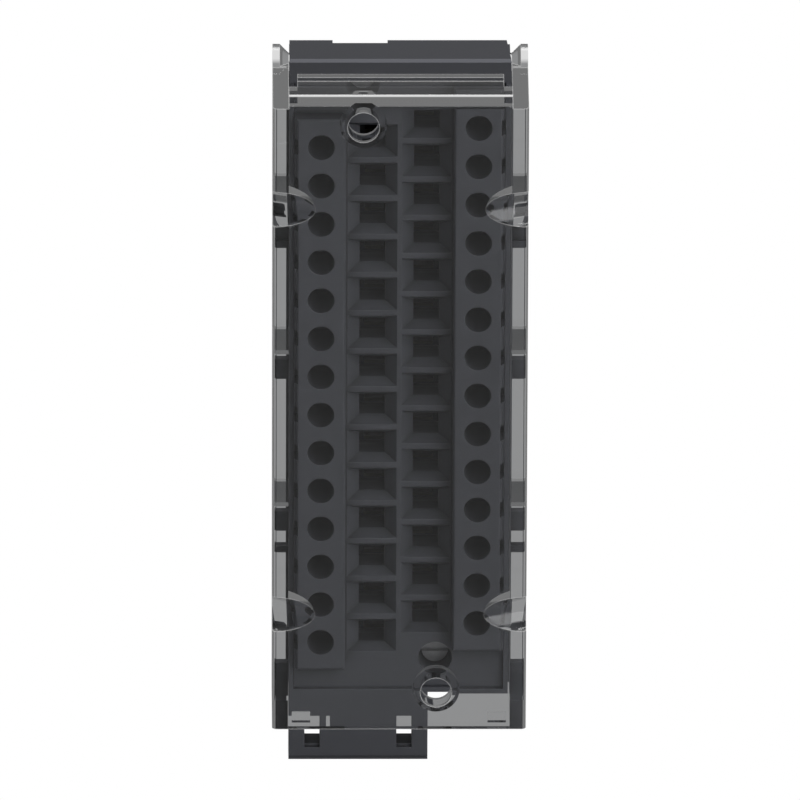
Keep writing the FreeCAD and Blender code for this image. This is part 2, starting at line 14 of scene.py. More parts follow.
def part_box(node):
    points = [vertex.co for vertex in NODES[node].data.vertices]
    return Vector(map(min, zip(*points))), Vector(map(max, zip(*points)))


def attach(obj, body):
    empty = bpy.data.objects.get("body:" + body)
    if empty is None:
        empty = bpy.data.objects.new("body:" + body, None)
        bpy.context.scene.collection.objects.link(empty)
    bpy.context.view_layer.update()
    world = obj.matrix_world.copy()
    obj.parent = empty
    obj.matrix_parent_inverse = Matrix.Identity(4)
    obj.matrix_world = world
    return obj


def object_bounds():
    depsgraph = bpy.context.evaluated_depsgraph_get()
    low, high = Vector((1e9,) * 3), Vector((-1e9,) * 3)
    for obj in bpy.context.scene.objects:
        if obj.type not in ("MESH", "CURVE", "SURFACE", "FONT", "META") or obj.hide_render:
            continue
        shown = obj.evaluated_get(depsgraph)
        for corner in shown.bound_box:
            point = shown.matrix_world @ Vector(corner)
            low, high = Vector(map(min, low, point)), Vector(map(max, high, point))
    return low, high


bl_info = {
    "name": "Screw Terminal Block",
    "version": (1, 0, 0),
    "blender": (4, 5, 0),
    "location": "View3D > Sidebar > Terminal Block",
    "description": "Finishes and small details for a screw terminal block",
    "category": "Object",
}

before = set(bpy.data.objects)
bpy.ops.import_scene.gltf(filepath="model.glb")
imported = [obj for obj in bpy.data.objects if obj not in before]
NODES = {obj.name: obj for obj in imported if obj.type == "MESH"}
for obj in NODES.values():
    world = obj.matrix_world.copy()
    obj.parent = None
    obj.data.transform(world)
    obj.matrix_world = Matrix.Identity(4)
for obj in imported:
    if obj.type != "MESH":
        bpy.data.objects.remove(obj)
CAD_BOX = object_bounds()


def corner(node, which):
    """Lowest (0) or highest (1) corner of a node, in metres."""
    return Vector(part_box(node)[which])


# Property groups

class MouldedFinish(bpy.types.PropertyGroup):
    body_colour: bpy.props.FloatVectorProperty(
        name="Body colour", description="Colour of the housing and terminal carrier",
        subtype="COLOR", size=3, min=0.0, max=1.0, default=(0.058, 0.060, 0.069))
    body_roughness: bpy.props.FloatProperty(
        name="Body roughness", description="Roughness of the housing and terminal carrier",
        subtype="FACTOR", default=0.52, min=0.1, max=0.9)
    plate_colour: bpy.props.FloatVectorProperty(
        name="Plate colour", description="Colour of the rear contact plate and the rings",
        subtype="COLOR", size=3, min=0.0, max=1.0, default=(0.035, 0.036, 0.040))
    plate_roughness: bpy.props.FloatProperty(
        name="Plate roughness", description="Roughness of the contact plate and the rings",
        subtype="FACTOR", default=0.6, min=0.1, max=0.9)
    grain_size: bpy.props.FloatProperty(
        name="Grain size", description="Size of the moulded grain",
        default=0.00022, min=0.00005, max=0.002, unit="LENGTH", precision=5)
    grain_depth: bpy.props.FloatProperty(
        name="Grain depth", description="Depth of the moulded grain",
        default=0.000008, min=0.0, max=0.0002, unit="LENGTH", precision=6)
    edge_radius: bpy.props.FloatProperty(
        name="Edge radius", description="Radius that the mould leaves on the dark edges",
        default=0.00012, min=0.0, max=0.001, unit="LENGTH", precision=5)
    # Painted highlight: the dark edges are paled as if they caught the light.
    edge_highlight: bpy.props.FloatProperty(
        name="Edge highlight", description="How far handling has paled the dark edges",
        subtype="FACTOR", default=0.5, min=0.0, max=1.0)
    # Painted highlight: the hinge bar's rounded front edge is paled as if it caught the light.
    bar_highlight: bpy.props.FloatProperty(
        name="Bar highlight", description="Distance below the housing's top over which the "
        "hinge bar's rounded front edge is paled",
        default=0.0012, min=0.0, max=0.004, unit="LENGTH", precision=4)
    # Painted shade: holes and slots are darkened in the colour over this reach, down to this
    # depth.
    recess_reach: bpy.props.FloatProperty(
        name="Recess reach", description="Distance over which walls shade a recess",
        default=0.003, min=0.0, max=0.02, unit="LENGTH", precision=4)
    recess_shade: bpy.props.FloatProperty(
        name="Recess shade", description="How dark the bottom of a deep recess gets",
        subtype="FACTOR", default=0.75, min=0.0, max=1.0)


class CoverFinish(bpy.types.PropertyGroup):
    tint: bpy.props.FloatVectorProperty(
        name="Tint", description="Colour that one wall of the clear cover lets through",
        subtype="COLOR", size=3, min=0.0, max=1.0, default=(0.86, 0.87, 0.88))
    refraction: bpy.props.FloatProperty(
        name="Refraction", description="Index of refraction of the clear plastic",
        default=1.47, min=1.0, max=2.0)
    scuff: bpy.props.FloatProperty(
        name="Scuff", description="Roughness that handling has left on the clear plastic",
        subtype="FACTOR", default=0.012, min=0.0, max=1.0)
    # Painted light: a grey glow stands in for light gathered inside the plastic.
    edge_glow: bpy.props.FloatProperty(
        name="Edge glow", description="Light that the clear plastic gathers where a ray is "
        "caught between its faces",
        default=0.185, min=0.0, max=1.0)
    # Painted highlight: this sets how wide the glowing edge line is.
    edge_radius: bpy.props.FloatProperty(
        name="Edge radius", description="Width over which the mould rounds the clear edges",
        default=0.00016, min=0.0, max=0.001, unit="LENGTH", precision=5)
    edge_line: bpy.props.FloatProperty(
        name="Edge line", description="Light that leaves the plastic along its edges",
        default=0.7, min=0.0, max=2.0)
    roof_depth: bpy.props.FloatProperty(
        name="Roof depth", description="Distance below the cover's top over which one turn "
        "inside the plastic already gathers that light",
        default=0.004, min=0.0, unit="LENGTH", precision=4)


class MetalFinish(bpy.types.PropertyGroup):
    steel_colour: bpy.props.FloatVectorProperty(
        name="Steel colour", description="Colour of the plated fixing screws",
        subtype="COLOR", size=3, min=0.0, max=1.0, default=(0.42, 0.42, 0.43))
    steel_dullness: bpy.props.FloatProperty(
        name="Steel dullness", description="Roughness of the plated fixing screws",
        subtype="FACTOR", default=0.28, min=0.0, max=0.8)
    # Painted shade: the clamp screws and plates are darkened near to black, as they sit in
    # shade deep in their holes.
    dark_steel_colour: bpy.props.FloatVectorProperty(
        name="Dark steel colour", description="Colour of the blackened clamp screws and plates",
        subtype="COLOR", size=3, min=0.0, max=1.0, default=(0.035, 0.035, 0.037))
    dark_steel_dullness: bpy.props.FloatProperty(
        name="Dark steel dullness", description="Roughness of the clamp screws and plates",
        subtype="FACTOR", default=0.4, min=0.0, max=0.8)
    # Painted shade: the brass is darkened near to black, as the contacts sit in shade inside
    # the wire entries.
    brass_colour: bpy.props.FloatVectorProperty(
        name="Brass colour", description="Colour of the contact bodies",
        subtype="COLOR", size=3, min=0.0, max=1.0, default=(0.06, 0.052, 0.036))
    brass_dullness: bpy.props.FloatProperty(
        name="Brass dullness", description="Roughness of the contact bodies",
        subtype="FACTOR", default=0.32, min=0.0, max=0.8)
    thread_dullness: bpy.props.FloatProperty(
        name="Thread dullness", description="Roughness of the fixing screws' threads",
        subtype="FACTOR", default=0.26, min=0.0, max=0.8)
    thread_radius: bpy.props.FloatProperty(
        name="Thread radius", description="Radius of the fixing screws' threaded ends",
        default=0.00125, min=0.0005, max=0.003, unit="LENGTH", precision=5)
    thread_pitch: bpy.props.FloatProperty(
        name="Thread pitch", description="Pitch of the fixing screws' threads",
        default=0.00045, min=0.0002, max=0.002, unit="LENGTH", precision=5)
    thread_rise: bpy.props.FloatProperty(
        name="Thread rise", description="Height of a crest above the threaded end's radius",
        default=0.000088, min=0.00002, max=0.0004, unit="LENGTH", precision=6)


class StageSetup(bpy.types.PropertyGroup):
    camera_azimuth: bpy.props.FloatProperty(
        name="Camera azimuth", description="Direction the camera looks in, 0 along +Y",
        subtype="ANGLE", default=math.radians(-0.6))
    camera_elevation: bpy.props.FloatProperty(
        name="Camera elevation", description="Height of the camera above the horizon",
        subtype="ANGLE", default=math.radians(21.5))
    camera_roll: bpy.props.FloatProperty(
        name="Camera roll", description="Turn of the camera about its line of sight",
        subtype="ANGLE", default=math.radians(0.2))
    camera_target: bpy.props.FloatVectorProperty(
        name="Camera target", description="Point that the camera looks at",
        subtype="TRANSLATION", size=3, default=(0.0001, -0.015, -0.0020), unit="LENGTH",
        precision=4)
    camera_distance: bpy.props.FloatProperty(
        name="Camera distance", description="Distance from the camera to its target",
        default=2.8, min=0.2, unit="LENGTH")
    camera_lens: bpy.props.FloatProperty(
        name="Camera lens", description="Focal length in millimetres",
        default=1014.0, min=20.0)
    floor_drop: bpy.props.FloatProperty(
        name="Floor drop", description="Distance from the lowest point down to the floor",
        default=0.004, min=0.0, unit="LENGTH")
    floor_shade: bpy.props.FloatProperty(
        name="Floor shade", description="Brightness of the floor as the object itself sees it",
        subtype="FACTOR", default=0.35, min=0.0, max=1.0)
    room_glow: bpy.props.FloatProperty(
        name="Room glow", description="Brightness of the room as the object itself sees it",
        default=0.2, min=0.0)
    glass_loss: bpy.props.FloatProperty(
        name="Glass loss", description="What is left of the white backdrop behind one surface "
        "of the clear cover",
        subtype="FACTOR", default=0.565, min=0.0, max=1.0)
    key_place: bpy.props.FloatVectorProperty(
        name="Key place", description="Place of the light in front on the right",
        subtype="TRANSLATION", size=3, default=(0.55, -0.6, 0.36), unit="LENGTH")
    key_size: bpy.props.FloatProperty(
        name="Key size", description="Side of the light in front on the right",
        default=1.0, min=0.01, unit="LENGTH")
    key_power: bpy.props.FloatProperty(
        name="Key power", description="Power of the light in front on the right, in watts",
        default=7.0, min=0.0)
    top_place: bpy.props.FloatVectorProperty(
        name="Top place", description="Place of the soft light overhead",
        subtype="TRANSLATION", size=3, default=(0.1, 0.3, 0.85), unit="LENGTH")
    top_size: bpy.props.FloatProperty(
        name="Top size", description="Side of the soft light overhead",
        default=0.4, min=0.01, unit="LENGTH")
    top_power: bpy.props.FloatProperty(
        name="Top power", description="Power of the soft light overhead, in watts",
        default=2.3, min=0.0)
    back_place: bpy.props.FloatVectorProperty(
        name="Back place", description="Place of the soft light behind on the left",
        subtype="TRANSLATION", size=3, default=(-0.45, 0.8, 0.1), unit="LENGTH")
    back_size: bpy.props.FloatProperty(
        name="Back size", description="Side of the soft light behind on the left",
        default=0.6, min=0.01, unit="LENGTH")
    back_power: bpy.props.FloatProperty(
        name="Back power", description="Power of the soft light behind on the left, in watts",
        default=9.0, min=0.0)


# Node helpers

def new_material(name):
    material = bpy.data.materials.new(name)
    material.use_nodes = True
    material.node_tree.nodes.clear()
    return material


def feed(tree, socket, value):
    """Links an output to a socket, or sets the socket to a plain value."""
    if isinstance(value, bpy.types.NodeSocket):
        tree.links.new(value, socket)
    else:
        socket.default_value = value


def feed_named(tree, node, values):
    """Feeds inputs by their names, with _ for a space."""
    for key, value in values.items():
        feed(tree, node.inputs[key.replace("_", " ")], value)
    return node


def add(tree, kind, **values):
    """New node with the named inputs fed."""
    return feed_named(tree, tree.nodes.new(kind), values)


def group_node(tree, name, **values):
    """Shared effect with the named inputs fed, built the first time it is asked for."""
    node = tree.nodes.new("ShaderNodeGroup")
    node.node_tree = bpy.data.node_groups.get(name) or SHARED_EFFECTS[name](name)
    return feed_named(tree, node, values)


def maths(tree, operation, *values):
    """Output of a Math node whose inputs are fed in order."""
    node = tree.nodes.new("ShaderNodeMath")
    node.operation = operation
    for socket, value in zip(node.inputs, values):
        feed(tree, socket, value)
    return node.outputs["Value"]


def vector_maths(tree, operation, first, second):
    """Dot product with a second vector, or a vector scaled by a factor."""
    node = tree.nodes.new("ShaderNodeVectorMath")
    node.operation = operation
    scales = operation == "SCALE"
    feed(tree, node.inputs[0], first)
    feed(tree, node.inputs["Scale"] if scales else node.inputs[1], second)
    return node.outputs["Vector" if scales else "Value"]


def ramp(tree, value, span, kind="LINEAR", **ends):
    """Takes the start of a span to 0 and its end to 1, or to the ends given."""
    node = add(tree, "ShaderNodeMapRange", Value=value, From_Min=span[0], From_Max=span[1],
               **ends)
    node.interpolation_type = kind
    return node.outputs["Result"]


def mix(tree, kind, factor, first, second):
    """Mixes two colours (RGBA) or two numbers (FLOAT)."""
    node = tree.nodes.new("ShaderNodeMix")
    node.data_type = kind
    feed_named(tree, node, {"Factor": factor, "A": first, "B": second})
    return node.outputs["Result"]


def mix_shaders(tree, factor, first, second):
    """Shows the first shader where the factor is 0 and the second where it is 1."""
    node = add(tree, "ShaderNodeMixShader", Fac=factor)
    feed(tree, node.inputs[1], first)
    feed(tree, node.inputs[2], second)
    return node.outputs["Shader"]


def end_tree(tree, shader, kind="ShaderNodeOutputMaterial"):
    """Ends a material's or a world's tree with its output node."""
    add(tree, kind, Surface=shader)


def new_group(name, inputs, outputs):
    """Shader node group with its sockets, and its two end nodes."""
    group = bpy.data.node_groups.new(name, "ShaderNodeTree")
    for label, kind, value in inputs:
        socket = group.interface.new_socket(name=label, in_out="INPUT", socket_type=kind)
        socket.default_value = value
    for label, kind in outputs:
        group.interface.new_socket(name=label, in_out="OUTPUT", socket_type=kind)
    return group, group.nodes.new("NodeGroupInput"), group.nodes.new("NodeGroupOutput")


# Shared effects

BEVEL_SAMPLES = 4
RECESS_SAMPLES = 8
NOISE_SPAN = (0.3, 0.7)            # where nearly all values of a noise lie
DRIFT_SCALE = 90.0                 # patches of tone per metre, and likewise below
PATCH_SCALE = 900.0
DARKEST_TONE = 0.97
EDGE_SPAN = (0.995, 0.8)           # how alike true and rounded normals are at an edge
LEAN_SPAN = (0.86, 0.97)           # how alike a normal is to the one below
FRONT_AND_UP = Vector((0.0, -1.0, 1.0)).normalized()
OPEN_SPAN = (0.3, 1.0)             # share of open sky from a deep hole to a free face
STREAK_STRETCH = (1.0, 0.08, 1.0)  # streaks run along Y
STREAK_ROUGHNESS = 0.2
PATCH_TONES = {"To_Min": 0.82, "To_Max": 1.08}


def moulded_grain_group(name):
    """Fine spark-eroded grain and slow tone drift of a moulded part."""
    group, start, end = new_group(
        name,
        (("Colour", "NodeSocketColor", (0.05, 0.05, 0.05, 1.0)),
         ("Grain scale", "NodeSocketFloat", 4500.0),
         ("Tone drift", "NodeSocketFloat", 0.06),
         ("Roughness low", "NodeSocketFloat", 0.5),
         ("Roughness high", "NodeSocketFloat", 0.62)),
        (("Colour", "NodeSocketColor"), ("Roughness", "NodeSocketFloat"),
         ("Height", "NodeSocketFloat")))
    given = start.outputs
    place = group.nodes.new("ShaderNodeTexCoord").outputs["Object"]
    fine = add(group, "ShaderNodeTexNoise", Vector=place, Scale=given["Grain scale"],
               Detail=3.0, Roughness=0.6).outputs["Fac"]
    slow = add(group, "ShaderNodeTexNoise", Vector=place, Scale=DRIFT_SCALE, Detail=2.0)
    drift = ramp(group, slow.outputs["Fac"], NOISE_SPAN)
    shade = maths(group, "MULTIPLY_ADD", drift, given["Tone drift"], DARKEST_TONE)
    rough = ramp(group, fine, (0.0, 1.0), To_Min=given["Roughness low"],
                 To_Max=given["Roughness high"])
    feed_named(group, end, {"Colour": vector_maths(group, "SCALE", given["Colour"], shade),
                            "Roughness": rough, "Height": fine})
    return group


def edge_highlight_group(name):
    """Mask for painted edge highlights, strongest on edges and fading beside them."""
    group, start, end = new_group(
        name,
        (("Radius", "NodeSocketFloat", 0.0002), ("Strength", "NodeSocketFloat", 0.5)),
        (("Mask", "NodeSocketFloat"),))
    bevel = add(group, "ShaderNodeBevel", Radius=start.outputs["Radius"])
    bevel.samples = BEVEL_SAMPLES
    flat = group.nodes.new("ShaderNodeNewGeometry").outputs["Normal"]
    likeness = vector_maths(group, "DOT_PRODUCT", flat, bevel.outputs["Normal"])
    spread = ramp(group, likeness, EDGE_SPAN)
    feed_named(group, end, {
        "Mask": maths(group, "MULTIPLY", spread, start.outputs["Strength"])})
    return group


def rounded_front_group(name):
    """Mask for a painted highlight, 1 on faces above a height that lean half up and half
    forward.
    """
    group, start, end = new_group(
        name, (("Lowest", "NodeSocketFloat", 0.0),), (("Mask", "NodeSocketFloat"),))
    place = group.nodes.new("ShaderNodeTexCoord")
    height = add(group, "ShaderNodeSeparateXYZ", Vector=place.outputs["Object"])
    above = maths(group, "GREATER_THAN", height.outputs["Z"], start.outputs["Lowest"])
    facing = vector_maths(group, "DOT_PRODUCT", place.outputs["Normal"], FRONT_AND_UP)
    lean = ramp(group, facing, LEAN_SPAN)
    feed_named(group, end, {"Mask": maths(group, "MULTIPLY", lean, above)})
    return group


def recess_group(name):
    """Painted shade: a mask that is 1 on open faces and falls towards 0 deep inside holes and
    slots.
    """
    group, start, end = new_group(
        name,
        (("Distance", "NodeSocketFloat", 0.003), ("Depth", "NodeSocketFloat", 0.6)),
        (("Mask", "NodeSocketFloat"),))
    open_sky = add(group, "ShaderNodeAmbientOcclusion", Distance=start.outputs["Distance"])
    open_sky.samples = RECESS_SAMPLES
    open_sky.only_local = True
    least = maths(group, "SUBTRACT", 1.0, start.outputs["Depth"])
    feed_named(group, end, {
        "Mask": ramp(group, open_sky.outputs["AO"], OPEN_SPAN, "SMOOTHSTEP", To_Min=least)})
    return group


def metal_wear_group(name):
    """Fine turned or rolled streaks and dull patches on small metal parts."""
    group, start, end = new_group(
        name,
        (("Colour", "NodeSocketColor", (0.5, 0.5, 0.5, 1.0)),
         ("Streak scale", "NodeSocketFloat", 3000.0),
         ("Dullness", "NodeSocketFloat", 0.3)),
        (("Colour", "NodeSocketColor"), ("Roughness", "NodeSocketFloat"),
         ("Height", "NodeSocketFloat")))
    given = start.outputs
    place = group.nodes.new("ShaderNodeTexCoord").outputs["Object"]
    patches = add(group, "ShaderNodeTexNoise", Vector=place, Scale=PATCH_SCALE, Detail=3.0)
    stretch = add(group, "ShaderNodeMapping", Vector=place, Scale=STREAK_STRETCH)
    streaks = add(group, "ShaderNodeTexNoise", Vector=stretch.outputs["Vector"],
                  Scale=given["Streak scale"], Detail=2.0).outputs["Fac"]
    dim = ramp(group, patches.outputs["Fac"], NOISE_SPAN, **PATCH_TONES)
    rough = maths(group, "MULTIPLY_ADD", streaks, STREAK_ROUGHNESS, given["Dullness"])
    feed_named(group, end, {"Colour": vector_maths(group, "SCALE", given["Colour"], dim),
                            "Roughness": rough, "Height": streaks})
    return group


SHARED_EFFECTS = {
    "Moulded grain": moulded_grain_group,
    "Edge highlight mask": edge_highlight_group,
    "Rounded front": rounded_front_group,
    "Recess": recess_group,
    "Plated metal": metal_wear_group,
}


# Materials

SMOOTHER = 0.05          # how far the grain's roughness falls below the mean
ROUGHER = 0.06           # and how far it rises above
GRAIN_BUMP = 0.35
PLASTIC_REFRACTION = 1.5
PLASTIC_GLOSS = 0.42
HIGHLIGHT_GAIN = 2.2        # a painted highlight has this many times the colour, plus the next
HIGHLIGHT_LIFT = 0.02
HAZE_SCALE = 260.0
HAZE_SPAN = (0.35, 0.75)
HAZE_TINT = 0.97         # what the densest haze leaves of the tint
COVER_EDGE = 0.8         # share of the edge line's light that a sharp edge shows
TURNS_TO_GLOW = 1.5      # between one turn inside the plastic and two
COVER_SHADOW = (0.92, 0.92, 0.92, 1.0)
STREAK_BUMP = 0.2
STREAK_DEPTH = 0.00001


def moulded_material(name, colour, roughness, finish):
    """Dark moulded plastic with grain, painted highlights on its edges and bar, and painted
    shade in recesses.
    """
    material = new_material(name)
    tree = material.node_tree
    grain = group_node(tree, "Moulded grain", Colour=(*colour, 1.0),
                       Grain_scale=1.0 / finish.grain_size,
                       Roughness_low=roughness - SMOOTHER,
                       Roughness_high=roughness + ROUGHER)
    edge = group_node(tree, "Edge highlight mask", Radius=finish.edge_radius, Strength=finish.edge_highlight)
    bar_highlight = group_node(tree, "Rounded front",
                          Lowest=corner("housing", 1).z - finish.bar_highlight)
    # Painted highlight: edges and the bar's rounded front edge are paled in the colour.
    painted_highlight = maths(tree, "MAXIMUM", edge.outputs["Mask"], bar_highlight.outputs["Mask"])
    pale = [min(1.0, part * HIGHLIGHT_GAIN + HIGHLIGHT_LIFT) for part in colour]
    highlighted = mix(tree, "RGBA", painted_highlight, grain.outputs["Colour"], (*pale, 1.0))
    # Painted shade darkens the colour deep inside holes and slots.
    painted_shade = group_node(tree, "Recess", Distance=finish.recess_reach,
                        Depth=finish.recess_shade)
    round_edge = add(tree, "ShaderNodeBevel", Radius=finish.edge_radius)
    round_edge.samples = BEVEL_SAMPLES
    bump = add(tree, "ShaderNodeBump", Strength=GRAIN_BUMP, Distance=finish.grain_depth,
               Height=grain.outputs["Height"], Normal=round_edge.outputs["Normal"])
    shader = add(tree, "ShaderNodeBsdfPrincipled", IOR=PLASTIC_REFRACTION,
                 Specular_IOR_Level=PLASTIC_GLOSS,
                 Base_Color=vector_maths(tree, "SCALE", highlighted, painted_shade.outputs["Mask"]),
                 Roughness=grain.outputs["Roughness"], Normal=bump.outputs["Normal"])
    end_tree(tree, shader.outputs["BSDF"])
    return material


def cover_material(name, finish):
    """Polished smoky clear plastic with light along its edges and in its roof."""
    material = new_material(name)
    material.cycles.emission_sampling = "NONE"
    tree = material.node_tree
    place = tree.nodes.new("ShaderNodeTexCoord").outputs["Object"]
    path = tree.nodes.new("ShaderNodeLightPath").outputs
    roof_low = corner("clear_cover", 1).z - finish.roof_depth

    haze = add(tree, "ShaderNodeTexNoise", Vector=place, Scale=HAZE_SCALE,
               Detail=4.0).outputs["Fac"]
    rough = ramp(tree, haze, HAZE_SPAN, To_Max=finish.scuff)
    hazy = [part * HAZE_TINT for part in finish.tint]
    tint = mix(tree, "RGBA", haze, (*finish.tint, 1.0), (*hazy, 1.0))

    # Painted highlight: edges and the roof's rounded front edge glow for camera rays.
    edge = group_node(tree, "Edge highlight mask", Radius=finish.edge_radius, Strength=COVER_EDGE)
    front = group_node(tree, "Rounded front", Lowest=roof_low)
    bright = maths(tree, "MAXIMUM", edge.outputs["Mask"], front.outputs["Mask"])
    line = maths(tree, "MULTIPLY", bright, path["Is Camera Ray"])
    # Where an edge shines, it lets that much less through. The rest is squared, because
    # the shader tints clear plastic with the root of its colour.
    rest = maths(tree, "SUBTRACT", 1.0, line)
    let_through = maths(tree, "MULTIPLY", rest, rest)
    shader = add(tree, "ShaderNodeBsdfPrincipled", IOR=finish.refraction,
                 Transmission_Weight=1.0, Roughness=rough,
                 Base_Color=vector_maths(tree, "SCALE", tint, let_through),
                 Emission_Color=line, Emission_Strength=finish.edge_line)

    # A ray that turns inside the plastic twice, or once in the roof, is caught there and meets
    # a painted grey glow.
    height = add(tree, "ShaderNodeSeparateXYZ", Vector=place).outputs["Z"]
    in_roof = maths(tree, "GREATER_THAN", height, roof_low)
    turns = maths(tree, "ADD", path["Glossy Depth"], in_roof)
    backfacing = tree.nodes.new("ShaderNodeNewGeometry").outputs["Backfacing"]
    inside = maths(tree, "MULTIPLY", turns, backfacing)
    caught = maths(tree, "GREATER_THAN", inside, TURNS_TO_GLOW)
    glow = add(tree, "ShaderNodeEmission", Strength=finish.edge_glow).outputs["Emission"]
    body = mix_shaders(tree, caught, shader.outputs["BSDF"], glow)
    clear = add(tree, "ShaderNodeBsdfTransparent", Color=COVER_SHADOW).outputs["BSDF"]
    end_tree(tree, mix_shaders(tree, path["Is Shadow Ray"], body, clear))
    return material


def metal_material(name, colour, dullness):
    """Metal with fine streaks and dull patches."""
    material = new_material(name)
    tree = material.node_tree
    wear = group_node(tree, "Plated metal", Colour=(*colour, 1.0), Dullness=dullness)
    bump = add(tree, "ShaderNodeBump", Strength=STREAK_BUMP, Distance=STREAK_DEPTH,
               Height=wear.outputs["Height"])
    shader = add(tree, "ShaderNodeBsdfPrincipled", Metallic=1.0,
                 Base_Color=wear.outputs["Colour"], Roughness=wear.outputs["Roughness"],
                 Normal=bump.outputs["Normal"])
    end_tree(tree, shader.outputs["BSDF"])
    return material


def finish_node(name, material):
    """Puts one material on every slot of a CAD node."""
    node = NODES[name]
    if not node.material_slots:
        node.data.materials.append(material)
    for slot in node.material_slots:
        slot.link = "OBJECT"
        slot.material = material


def screw_nodes():
    return sorted(name for name in NODES if name.startswith("clamp_screw_"))


# Meshes

STEPS_PER_TURN = 24
ROOT_SINK = 0.96         # the ridge's foot lies this deep, as a share of the bar's radius
THREAD_FOOT = 0.42       # half widths of the ridge, as shares of the pitch
THREAD_CREST = 0.07
THREAD_START = 0.0004    # distance behind the retaining ring
THREAD_STOP = 0.0003     # distance before the screw's end
SMOOTH_ANGLE = math.radians(35)


def mesh_object(name, mesh, material):
    piece = bpy.data.objects.new(name, mesh)
    piece.data.materials.append(material)
    bpy.context.scene.collection.objects.link(piece)
    return piece


def thread_mesh(name, centre, start_y, end_y, root_r, crest_r, pitch):
    """Helical ridge round a bar along Y, whose crest fades out over its end turns."""
    total = int((end_y - start_y) / pitch * STEPS_PER_TURN)
    mesh = bmesh.new()
    rows = []
    for index in range(total + 1):
        angle = 2 * math.pi * index / STEPS_PER_TURN
        along = start_y + pitch * index / STEPS_PER_TURN
        fade = min(1.0, index / STEPS_PER_TURN, (total - index) / STEPS_PER_TURN)
        foot = root_r * ROOT_SINK
        crest = root_r + (crest_r - root_r) * fade
        direction = Vector((math.cos(angle), 0.0, math.sin(angle)))
        row = []
        for radius, shift in ((foot, -THREAD_FOOT), (crest, -THREAD_CREST),
                              (crest, THREAD_CREST), (foot, THREAD_FOOT)):
            point = centre + direction * radius
            point.y = along + shift * pitch
            row.append(mesh.verts.new(point))
        rows.append(row)
    for before, after in zip(rows, rows[1:]):
        for low in range(3):
            mesh.faces.new((before[low], before[low + 1], after[low + 1], after[low]))
    mesh.faces.new(rows[0][::-1])
    mesh.faces.new(rows[-1])
    bmesh.ops.recalc_face_normals(mesh, faces=mesh.faces)
    data = bpy.data.meshes.new(name)
    mesh.to_mesh(data)
    mesh.free()
    for face in data.polygons:
        face.use_smooth = True
    data.set_sharp_from_angle(angle=SMOOTH_ANGLE)
    return data


# Operators

class FinishMouldings(bpy.types.Operator):
    """Gives the housing, terminal carrier, contact plate and rings their plastic"""
    bl_idname = "terminal_block.finish_mouldings"
    bl_label = "Finish mouldings"

    def execute(self, context):
        settings = context.scene.block_moulded
        body = moulded_material("Dark moulded plastic", settings.body_colour,
                                settings.body_roughness, settings)
        plate = moulded_material("Black moulded plastic", settings.plate_colour,
                                 settings.plate_roughness, settings)
        for name in ("housing", "terminal_carrier"):
            finish_node(name, body)
        for name in ("contact_plate", "retaining_ring_upper", "retaining_ring_lower"):
            finish_node(name, plate)
        return {"FINISHED"}


class FinishCover(bpy.types.Operator):
    """Gives the hinged cover its smoky clear plastic"""
    bl_idname = "terminal_block.finish_cover"
    bl_label = "Finish cover"

    def execute(self, context):
        settings = context.scene.block_cover
        finish_node("clear_cover", cover_material("Smoky clear plastic", settings))
        return {"FINISHED"}


class FinishMetal(bpy.types.Operator):
    """Gives the screws, clamp plates and contact bodies their metal"""
    bl_idname = "terminal_block.finish_metal"
    bl_label = "Finish metal parts"

    def execute(self, context):
        settings = context.scene.block_metal
        steel = metal_material("Plated steel", settings.steel_colour, settings.steel_dullness)
        # Painted shade: the contact brass is near-black to match the shade inside the wire
        # entries.
        brass = metal_material("Contact brass", settings.brass_colour, settings.brass_dullness)
        # Painted shade: near-black steel for the screws and plates that sit in shade.
        dark = metal_material("Shade-darkened steel", settings.dark_steel_colour,
                              settings.dark_steel_dullness)
        for name in ("fixing_screw_upper", "fixing_screw_lower"):
            finish_node(name, steel)
        for name in screw_nodes() + ["clamp_yokes_left", "clamp_yokes_right"]:
            finish_node(name, dark)
        for name in ("contact_bodies_left", "contact_bodies_right"):
            finish_node(name, brass)
        return {"FINISHED"}


class BuildThreads(bpy.types.Operator):
    """Winds a thread round the free end of each fixing screw"""
    bl_idname = "terminal_block.build_threads"
    bl_label = "Build threads"

    def execute(self, context):
        settings = context.scene.block_metal
        steel = metal_material("Threaded steel", settings.steel_colour,
                               settings.thread_dullness)
        shank = settings.thread_radius
        for place in ("upper", "lower"):
            low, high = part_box("fixing_screw_" + place)
            centre = Vector(((low[0] + high[0]) / 2, 0.0, (low[2] + high[2]) / 2))
            ring = corner("retaining_ring_" + place, 1)
            mesh = thread_mesh("fixing_thread_" + place, centre, ring.y + THREAD_START,
                               high[1] - THREAD_STOP, shank, shank + settings.thread_rise,
                               settings.thread_pitch)
            piece = mesh_object("fixing_thread_" + place, mesh, steel)
            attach(piece, place + "_fixing_screw")
        return {"FINISHED"}


# Stage

FLOOR_REACH = 6.0
LIGHT_AIM = Vector((0.0, -0.01, 0.0))
SENSOR_WIDTH = 36.0
CLIP_START = 0.05
CLIP_END = 20.0


